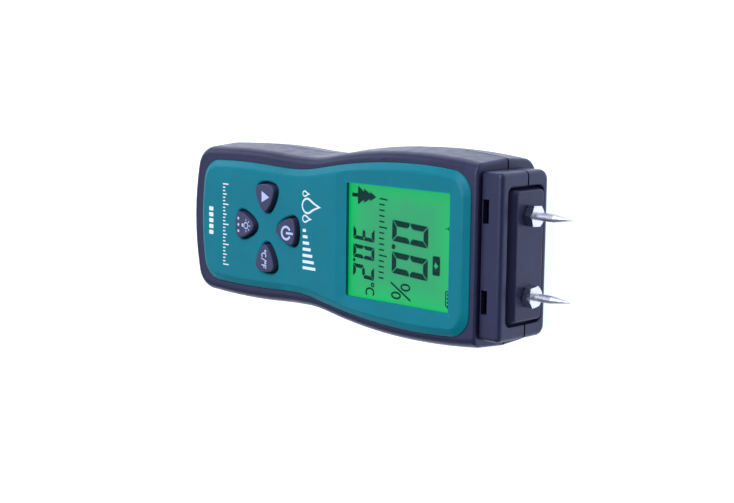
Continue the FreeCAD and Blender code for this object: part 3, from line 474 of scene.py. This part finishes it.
def mark(name, shapes, z, material, body, thickness=INK):
    """One thin solid piece, its underside at z, from shapes: each is a list of loops, outline then holes."""
    meshes = []
    for loops in shapes:
        curve = bpy.data.curves.new(name, "CURVE")
        curve.dimensions = "2D"
        curve.fill_mode = "BOTH"
        curve.extrude = thickness / 2
        for loop in loops:
            spline = curve.splines.new("POLY")
            spline.points.add(len(loop) - 1)
            for point, (x, y) in zip(spline.points, loop):
                point.co = (x * MM, y * MM, 0, 1)
            spline.use_cyclic_u = True
        holder = bpy.data.objects.new(name, curve)
        meshes.append(bpy.data.meshes.new_from_object(holder))
        bpy.data.objects.remove(holder)
    verts, faces = [], []
    for mesh in meshes:
        start = len(verts)
        verts += [v.co + Vector((0, 0, z + thickness / 2)) for v in mesh.vertices]
        faces += [[start + i for i in polygon.vertices] for polygon in mesh.polygons]
    mesh = bpy.data.meshes.new(name)
    mesh.from_pydata(verts, [], faces)
    mesh.materials.append(material)
    obj = bpy.data.objects.new(name, mesh)
    bpy.context.scene.collection.objects.link(obj)
    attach(obj, body)


# ---------------------------------------------------------------- display

SEGMENTS = {"0": "abcdef", "2": "abged", "3": "abgcd"}       # the lit segments of each figure
SLANT = 0.06                                                 # how far the figures lean for their height

# Figures: character, lower left corner, width, height, weight of a segment
BIG_FIGURES = [("0", -8.8, 21.2, 7.5, 16.8, 2.1), ("0", 2.4, 21.2, 7.6, 16.8, 2.1)]
SMALL_FIGURES = [("3", -5.0, 2.3, 4.8, 10.4, 1.4), ("0", 1.6, 2.3, 4.8, 10.4, 1.4),
                 ("2", 8.6, 2.3, 4.8, 10.4, 1.4)]
BIG_POINT, SMALL_POINT = ((0.7, 21.9), 0.9), ((7.5, 2.8), 0.6)


def digit(character, x, y, width, height, weight):
    """Seven-segment figure whose lower left corner is (x, y): each lit segment is a pointed bar."""
    w, mid = weight, height / 2
    gap, cut = w * 0.11, w * 0.5         # between two segments; off a pointed corner
    shapes = {
        "a": [(gap, height), (width - gap, height), (width - gap - w, height - w), (gap + w, height - w)],
        "d": [(gap, 0), (gap + w, w), (width - gap - w, w), (width - gap, 0)],
        "g": [(gap + cut, mid), (gap + w, mid + cut), (width - gap - w, mid + cut), (width - gap - cut, mid),
              (width - gap - w, mid - cut), (gap + w, mid - cut)],
        "f": [(0, height - gap), (0, mid + gap), (cut, mid + gap), (w, mid + gap + cut),
              (w, height - gap - w)],
        "e": [(0, gap), (w, gap + w), (w, mid - gap - cut), (cut, mid - gap), (0, mid - gap)],
        "b": [(width, height - gap), (width - w, height - gap - w), (width - w, mid + gap + cut),
              (width - cut, mid + gap), (width, mid + gap)],
        "c": [(width, gap), (width, mid - gap), (width - cut, mid - gap), (width - w, mid - gap - cut),
              (width - w, gap + w)]}
    return [[[(x + px + SLANT * py, y + py) for px, py in shapes[s]]] for s in SEGMENTS[character]]


def conifer(x, y, height, half):
    """Three-tiered fir with a trunk, standing at (x, y)."""
    trunk = height * 0.24
    tiers, right = 3, []
    for i in range(tiers):
        base = y + trunk + (height - trunk) * i / tiers
        notch = base + (height - trunk) / tiers
        right += [(x + half * (1 - 0.24 * i), base), (x + half * (0.42 - 0.16 * i), notch)]
    right[-1] = (x, y + height)
    left = [(2 * x - px, py) for px, py in reversed(right[:-1])]
    stem = half * 0.2
    return [[(x - stem, y), (x + stem, y), (x + stem, y + trunk)] + right + left + [(x - stem, y + trunk)]]


def unit_mark(x, y, size, letter, weight):
    """Degree ring followed by an open C or an F, its lower left corner at (x, y)."""
    shapes = [ring((x + 0.2 * size, y + 0.82 * size), 0.15 * size, weight * 0.8)]
    left, top = x + 0.5 * size, y + size
    if letter == "C":
        angles = [math.radians(48 + 264 * i / 20) for i in range(21)]
        open_c = [(left + size * (0.38 + 0.36 * math.cos(t)), y + size * (0.5 + 0.46 * math.sin(t)))
                  for t in angles]
        shapes.append([stroke(open_c, weight, False)])
    else:
        stem, middle = left + weight, y + 0.42 * size
        shapes.append([[(left, y), (stem, y), (stem, middle), (left + 0.5 * size, middle),
                        (left + 0.5 * size, middle + weight), (stem, middle + weight),
                        (stem, top - weight), (left + 0.62 * size, top - weight),
                        (left + 0.62 * size, top), (left, top)]])
    return shapes


def readings():
    """The two readings with their points, percent sign, degree mark and tree."""
    shapes = [shape for figure in BIG_FIGURES + SMALL_FIGURES for shape in digit(*figure)]
    shapes += [[circle(*BIG_POINT)], [circle(*SMALL_POINT)]]
    shapes += [oval_ring(centre, 1.05, 2.0, 0.7) for centre in ((14.5, 27.8), (17.8, 23.4))]
    shapes.append([stroke([(13.4, 20.8), (18.9, 30.3)], 0.7, False)])
    shapes += unit_mark(14.7, 8.7, 4.1, "C", 0.65)
    shapes.append(conifer(-15.9, 1.5, 11.8, 3.4))
    return shapes


def bar_scale():
    """Fifteen bars between the two readings, every fifth one taller."""
    shapes, foot = [], 14.9
    for i in range(15):
        x = -15.6 + 2.0 * i
        tall = 3.8 if i % 5 == 0 else 2.5
        shapes.append([stroke([(x, foot), (x + SLANT * tall, foot + tall)], 0.55, False)])
    return shapes


def display_icons():
    """Boxed arrow, battery gauge and small pointer, toward the display's +Y edge."""
    arrow = [(5.25, 42.9), (3.9, 41.3), (4.85, 41.3), (4.85, 40.8), (5.65, 40.8), (5.65, 41.3), (6.6, 41.3)]
    boxed = [round_bar(1.9, 40.2, 8.6, 43.6, 0.5), arrow]
    gauge = [round_bar(13.2, 46.2, 18.6, 48.6, 0.3), round_bar(13.6, 46.6, 18.2, 48.2, 0.15)]
    gauge_cap = [bar(18.6, 46.9, 19.2, 47.9)]
    charge = [[bar(14.1 + 1.35 * i, 46.95, 14.9 + 1.35 * i, 47.85)] for i in range(3)]
    head = [stroke([(-8.9, 47.9), (-8.0, 46.9), (-7.1, 47.9)], 0.35, False)]
    stem = [stroke([(-8.0, 46.6), (-8.0, 45.7)], 0.35, False)]
    return [boxed, gauge, gauge_cap, *charge, head, stem]


def display():
    segment_ink = ink("lcd_segment", SEGMENT_COLOUR, 0.35)
    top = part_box("lcd_front_glass")[1].z
    shapes = readings() + bar_scale() + display_icons()
    mark("display_marks", shapes, top + FLOAT, segment_ink, "housing", SEGMENT_INK)


# ---------------------------------------------------------------- printed marks


def power_symbol(x, y, r, weight):
    """Ring of radius r open toward +Y, with a bar through the opening."""
    stem = [(x, y + 0.15 * r), (x, y + 1.45 * r)]
    return [[stroke(arc((x, y), r, 128, 412, 32), weight)], [stroke(stem, weight)]]


def lamp(x, y, r):
    """Lamp with its base toward -Y and five rays."""
    shapes = [ring((x, y), r, 0.38), [round_bar(x - 0.55 * r, y - 2.1 * r, x + 0.55 * r, y - 1.3 * r, 0.12)]]
    for angle in (0, 45, 90, 135, 180):
        c, s = math.cos(math.radians(angle)), math.sin(math.radians(angle))
        ray = [(x + reach * r * c, y + reach * r * s) for reach in (1.55, 2.15)]
        shapes.append([stroke(ray, 0.3)])
    return shapes


def key_marks(key_ink):
    """One symbol on each key, placed from the key's middle."""
    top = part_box("power_key")[1].z + FLOAT

    def middle(key):
        low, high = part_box(key)
        return (low.x + high.x) / 2 / MM, (low.y + high.y) / 2 / MM

    x, y = middle("power_key")
    power = power_symbol(x + 0.6, y + 0.7, 2.3, 0.88)
    mark("power_symbol", power, top, key_ink, "power_button")
    x, y = middle("up_key")
    arrow = [(x - 2.5, y - 1.25), (x + 1.7, y - 1.25), (x - 0.4, y + 2.85)]
    mark("up_symbol", [[arrow]], top, key_ink, "up_button")
    x, y = middle("mode_key")
    dots = [[circle((x - 2.4 + 2.4 * i, y - 3.0), 0.55)] for i in range(3)]
    mark("light_symbol", lamp(x, y + 1.3, 1.12) + dots, top, key_ink, "mode_button")
    x, y = middle("unit_key")
    degrees = unit_mark(x - 3.3, y - 1.2, 2.5, "C", 0.46) + unit_mark(x + 1.1, y - 1.2, 2.5, "F", 0.46)
    degrees.append([stroke([(x, y - 1.4), (x + 1.0, y + 1.5)], 0.4, False)])
    mark("unit_symbols", degrees, top, key_ink, "unit_button")


def panel_marks(panel_ink):
    """Generic prints: three drops beside seven rising bars, a tick scale, and a row of five bars."""
    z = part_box("front_panel")[1].z + FLOAT
    drops = [[droplet(x, y, outer), droplet(x, y - 0.1, inner)]
             for x, y, outer, inner in ((-10.2, -18.2, 3.0, 2.3), (-5.4, -19.4, 1.5, 0.95),
                                        (-14.6, -19.6, 1.2, 0.7))]
    steps = [[round_bar(-1.6 + 2.3 * i, -20.6, -0.5 + 2.3 * i, -18.9 + 0.85 * i, 0.25)] for i in range(7)]
    mark("moisture_symbol", drops + steps, z, panel_ink, "housing")
    ticks, foot = [], -65.2
    for i in range(25):
        x = -14.6 + 1.3 * i
        tall = 3.3 if i % 6 == 0 else 2.2 if i % 3 == 0 else 1.4
        ticks.append([round_bar(x - 0.24, foot, x + 0.24, foot + tall, 0.2)])
    mark("scale_marks", ticks, z, panel_ink, "housing")
    row = [[round_bar(-5.2 + 2.3 * i, -73.4, -3.6 + 2.3 * i, -70.9, 0.35)] for i in range(5)]
    mark("index_marks", row, z, panel_ink, "housing")


# ---------------------------------------------------------------- stage, light, camera


def stage():
    bpy.ops.mesh.primitive_plane_add(size=FLOOR_SIZE, location=(0, 0, FLOOR_Z))
    floor = bpy.context.object
    floor.name = "studio_floor"
    n = Nodes("studio_paper")
    n.colour(n.ramp(n.noise(0.25, 2.0), [(0.3, shade(FLOOR_COLOUR, 0.99)), (0.7, FLOOR_COLOUR)]))
    n.set(Roughness=0.9, Specular_IOR_Level=0.1, Emission_Color=FLOOR_GLOW,
          Emission_Strength=FLOOR_GLOW_STRENGTH)
    floor.data.materials.append(n.material)


def area_light(name, place, target, size, power, colour):
    data = bpy.data.lights.new(name, "AREA")
    data.shape = "RECTANGLE"
    data.size, data.size_y = size
    data.energy = power
    data.color = colour
    holder = bpy.data.objects.new(name, data)
    holder.location = place
    holder.rotation_euler = (Vector(target) - Vector(place)).to_track_quat("-Z", "Y").to_euler()
    bpy.context.scene.collection.objects.link(holder)


def lights():
    world = bpy.data.worlds.new("studio")
    world.use_nodes = True
    background = world.node_tree.nodes["Background"]
    background.inputs["Color"].default_value = (*WORLD_COLOUR, 1)
    background.inputs["Strength"].default_value = WORLD_STRENGTH
    bpy.context.scene.world = world
    for light in LIGHTS:
        area_light(*light)


def camera():
    """Above the pins' end, rolled so that the meter lies across the picture with its pins to the right."""
    data = bpy.data.cameras.new("camera")
    data.sensor_fit = "HORIZONTAL"
    data.sensor_width = SENSOR_MM
    data.lens = LENS_MM
    data.clip_start, data.clip_end = CLIP
    forward = Vector(CAMERA_FORWARD).normalized()
    right = Vector(CAMERA_RIGHT)
    right = (right - forward * right.dot(forward)).normalized()
    up = right.cross(forward)
    turn = Matrix((right, up, -forward)).transposed().to_4x4()
    holder = bpy.data.objects.new("camera", data)
    holder.matrix_world = Matrix.Translation(Vector(CAMERA_PLACE) * MM) @ turn
    bpy.context.scene.collection.objects.link(holder)
    bpy.context.scene.camera = holder


# ---------------------------------------------------------------- build

dress_cad()
display()
key_marks(ink("key_ink", KEY_MARK_COLOUR))
panel_marks(ink("white_ink", MARK_COLOUR))
stage()
lights()
camera()
bpy.context.scene.view_settings.view_transform = "Standard"
